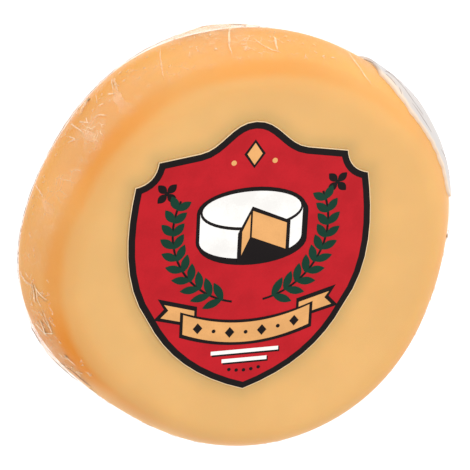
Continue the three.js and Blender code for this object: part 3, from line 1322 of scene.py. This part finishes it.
# Creases in the rim label: width in mm, then (degrees, mm up)
PAPER_CREASES = (
    (0.2, ((51.8, 17.1), (47.5, 18.1), (44.7, 19.6), (41.9, 21.3), (37.1, 22.3))),
    (0.16, ((52, 9.4), (47, 12), (41, 14.5), (34.9, 18.4))),
    (0.18, ((52.2, 18.4), (50.2, 17), (47.6, 15.8), (44.4, 16.5))),
    (0.16, ((52.2, 19.4), (50.4, 20.2), (48.7, 21.3))),
    (0.14, ((47.7, 21.2), (47.2, 22), (46.9, 22.8))),
    (0.14, ((42.7, 22.4), (37.7, 23.5), (32.7, 23.9))),
    (0.14, ((26.7, 23.2), (21.1, 20.9), (15.9, 21.1))),
    (0.16, ((36, 9), (30, 13), (28, 16))),
    (0.14, ((22, 7), (17, 12), (16, 15))),
)


def rim_label_top(degrees):
    """Height of the rim label's upper edge in one direction, in mm."""
    top = RIM_LABEL["high"]
    for start, end, drop in RIM_LABEL_CORNERS:
        top -= drop * max((degrees - start) / (end - start), 0) ** 2.5
    return top


def rolled_out(degrees, level):
    """Where a place on the rim lies when its skin is rolled out flat."""
    return Vector((degrees * DEGREE_LENGTH, level, 0))


def paper_rise(form, turn, level):
    """How far the rim label's paper stands off the solid's surface at one place."""
    degrees = math.degrees(turn)
    low = RIM_LABEL["low"] * MM
    up = (level - low) / (rim_label_top(degrees) * MM - low)
    ruffle = 0.5 + 0.5 * cube_noise(rolled_out(degrees, level), 5 * MM, 21)
    loose = smooth_step(degrees, 24, 50)
    return (0.34 + 0.12 * ruffle + 0.3 * ruffle * loose * max(1 - up * up, 0)) * MM


def rim_paper_material(colours):
    """White paper greyed by painted shade, faintly warm and cool in patches, and creamy along its upper
    edge.
    """
    material, nodes, shader = new_material("rim label paper", colours.rim_paper_in_shade, 0.5)
    patches = mottle(nodes, 110.0, 900.0, 0.4)
    soft = patches.outputs["Patches"]
    # The white paper greyed by painted shade, a little warm and cool in patches
    warm = [channel * tint for channel, tint in zip(colours.rim_paper_in_shade, (1.02, 0.97, 0.95))]
    cool = [channel * tint for channel, tint in zip(colours.rim_paper_in_shade, (0.97, 0.99, 1.02))]
    paper_in_shade = nodes.blend(nodes.spread(soft, 0.3, 0.7), warm, cool)
    # A cream band along the paper's upper edge, made jagged by the soft patches
    jagged = nodes.plus(nodes.attribute("inside_edge"), nodes.times(soft, 1.6))
    creamed = nodes.times(nodes.spread(jagged, 0.9, 2.1, 1.0, 0.0), 0.9)
    nodes.feed(shader.inputs["Base Color"], nodes.blend(creamed, paper_in_shade, colours.cream_edge))
    bumped(nodes, shader, patches.outputs["Height"], 0.3, 0.15 * MM)
    return material


def crease_material(colours):
    """The shaded, slightly worn line of a crease in the paper."""
    material, nodes, shader = new_material("paper crease", colours.rim_crease, 0.6)
    soft = mottle(nodes, 300.0, 900.0, 0.6).outputs["Patches"]
    nodes.feed(shader.inputs["Alpha"], nodes.spread(soft, 0.3, 0.7, 0.35, 0.9))
    return material


class GOUDA_OT_rim_label(bpy.types.Operator):
    """Lay the white label round the rim"""

    bl_idname = "gouda.lay_rim_label"
    bl_label = "Rim label"

    def execute(self, context):
        form = WheelForm(context.scene.gouda_sizes)
        colours = context.scene.gouda_colours
        bm = bmesh.new()
        bmesh.ops.create_grid(bm, x_segments=120, y_segments=48, size=0.5)
        inside = bm.verts.layers.float.new("inside_edge")
        for vert in bm.verts:
            across = vert.co.x + 0.5
            degrees = RIM_LABEL["from"] + (RIM_LABEL["to"] - RIM_LABEL["from"]) * across
            up = vert.co.y + 0.5
            span = rim_label_top(degrees) - RIM_LABEL["low"]
            vert[inside] = span * (1 - up) / (1 + 2 * smooth_step(degrees, 42, 52))
            level = RIM_LABEL["low"] + span * up
            spot = rolled_out(degrees, level * MM)
            torn = cube_noise(spot, 2.6 * MM, 43) + 0.7 * cube_noise(spot, 1.1 * MM, 47)
            level += 0.4 * torn * smooth_step(up, 0.8, 1)
            turn = math.radians(degrees)
            vert.co = form.place(turn, level * MM, paper_rise(form, turn, level * MM))
        bmesh.ops.recalc_face_normals(bm, faces=bm.faces)
        paper_out = form.outward(0, form.middle).dot(next(iter(bm.faces)).normal) > 0
        if not paper_out:
            bmesh.ops.reverse_faces(bm, faces=bm.faces)
        piece = new_piece("rim_label_sheet", bm, rim_paper_material(colours))
        wall = piece.modifiers.new("wall", "SOLIDIFY")
        wall.thickness = RIM_LABEL["into_film"] * MM
        wall.offset = -1
        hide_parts("rim_label")

        ridges = [(path, width * MM, 0, 1) for width, path in PAPER_CREASES]
        bm = ridge_mesh(form, paper_rise, ridges, 0.12 * MM, 0.3 * MM, sides=6, rings=24)
        creases = new_piece("rim_label_creases", bm, crease_material(colours))
        return {"FINISHED"}


# ---- The stage -------------------------------------------------------------------------------

# Where the lights stand from the middle of the cheese, and how wide they are, in metres
KEY_LIGHT = ((0.1, 0.85, 1.0), 0.65)
FILL_LIGHT = ((0.35, 0, 0.5), 0.3)

# How far the floor reaches every way, in metres
FLOOR_REACH = 1.5

def look_at(place, target, up):
    """The turn of a camera or light that stands at place and looks at target."""
    back = (place - target).normalized()
    right = up.cross(back).normalized()
    return Matrix((right, back.cross(right), back)).transposed().to_4x4()


def add_area_light(name, place, target, size, watts, tint):
    """A square soft light that looks at the target."""
    data = bpy.data.lights.new(name, "AREA")
    data.shape = "SQUARE"
    data.size = size
    data.energy = watts
    data.color = tint
    light = bpy.data.objects.new(name, data)
    light.matrix_world = Matrix.Translation(place) @ look_at(place, target, Vector((0, 0.2, 1)))
    bpy.context.scene.collection.objects.link(light)


def camera_axes(stage):
    """The camera's right, up and back directions."""
    level = math.cos(stage.elevation)
    back = Vector(
        (
            math.sin(stage.azimuth) * level,
            -math.cos(stage.azimuth) * level,
            math.sin(stage.elevation),
        )
    )
    right = Vector((0, 0, 1)).cross(back).normalized()
    turned = Matrix.Rotation(stage.roll, 3, back)
    right = turned @ right
    return right, back.cross(right), back


class GOUDA_OT_stage(bpy.types.Operator):
    """Lay the floor and set the lights and the camera"""

    bl_idname = "gouda.set_stage"
    bl_label = "Stage"

    def execute(self, context):
        scene = context.scene
        stage = scene.gouda_stage
        form = WheelForm(scene.gouda_sizes)
        middle = form.axis + Vector((0, 0, form.middle))

        bm = bmesh.new()
        bmesh.ops.create_grid(bm, x_segments=1, y_segments=1, size=FLOOR_REACH)
        material, _, shader = new_material("pale floor", scene.gouda_colours.floor, 0.7)
        shader.inputs["Emission Color"].default_value = (*WHITE, 1)
        shader.inputs["Emission Strength"].default_value = stage.floor_glow
        mesh = bpy.data.meshes.new("floor")
        bm.to_mesh(mesh)
        bm.free()
        mesh.materials.append(material)
        floor = bpy.data.objects.new("floor", mesh)
        scene.collection.objects.link(floor)

        world = bpy.data.worlds.new("even sky")
        world.use_nodes = True
        background = world.node_tree.nodes["Background"]
        background.inputs["Color"].default_value = (*WHITE, 1)
        background.inputs["Strength"].default_value = stage.sky
        scene.world = world

        lights = (
            ("key light", KEY_LIGHT, stage.key_light),
            ("fill light", FILL_LIGHT, stage.fill_light),
        )
        for name, (away, size), watts in lights:
            add_area_light(name, middle + Vector(away), middle, size, watts, WHITE)

        data = bpy.data.cameras.new("camera")
        data.lens = stage.lens
        data.sensor_width = SENSOR_WIDTH
        data.clip_start = 0.01
        camera = bpy.data.objects.new("camera", data)
        right, up, back = camera_axes(stage)
        pixel = stage.distance * data.sensor_width / data.lens / PICTURE_WIDTH
        aim = middle - right * stage.aim[0] * pixel + up * stage.aim[1] * pixel
        turn = Matrix((right, up, back)).transposed().to_4x4()
        camera.matrix_world = Matrix.Translation(aim + back * stage.distance) @ turn
        scene.collection.objects.link(camera)
        scene.camera = camera

        scene.view_settings.view_transform = "Standard"
        return {"FINISHED"}


# ---- Add-on ----------------------------------------------------------------------------------


class GOUDA_PT_panel(bpy.types.Panel):
    """Lists the sizes, the colours and the steps"""

    bl_label = "Smoked Gouda"
    bl_idname = "GOUDA_PT_panel"
    bl_space_type = "VIEW_3D"
    bl_region_type = "UI"
    bl_category = "Gouda"

    def draw(self, context):
        layout = self.layout
        scene = context.scene
        for group in (scene.gouda_sizes, scene.gouda_colours, scene.gouda_stage):
            box = layout.box()
            for name in type(group).__annotations__:
                box.prop(group, name)
        for step in STEPS:
            layout.operator(step.bl_idname)


STEPS = (
    GOUDA_OT_stage,
    GOUDA_OT_cheese,
    GOUDA_OT_film,
    GOUDA_OT_folds,
    GOUDA_OT_face_label,
    GOUDA_OT_rim_label,
)
CLASSES = (GoudaSizes, GoudaColours, GoudaStage, *STEPS, GOUDA_PT_panel)


def register():
    for entry in CLASSES:
        bpy.utils.register_class(entry)
    bpy.types.Scene.gouda_sizes = PointerProperty(type=GoudaSizes)
    bpy.types.Scene.gouda_colours = PointerProperty(type=GoudaColours)
    bpy.types.Scene.gouda_stage = PointerProperty(type=GoudaStage)


def unregister():
    del bpy.types.Scene.gouda_stage
    del bpy.types.Scene.gouda_colours
    del bpy.types.Scene.gouda_sizes
    for entry in reversed(CLASSES):
        bpy.utils.unregister_class(entry)


def main():
    register()
    for step in STEPS:
        group, name = step.bl_idname.split(".")
        getattr(getattr(bpy.ops, group), name)()
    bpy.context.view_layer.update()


if __name__ == "__main__":
    main()
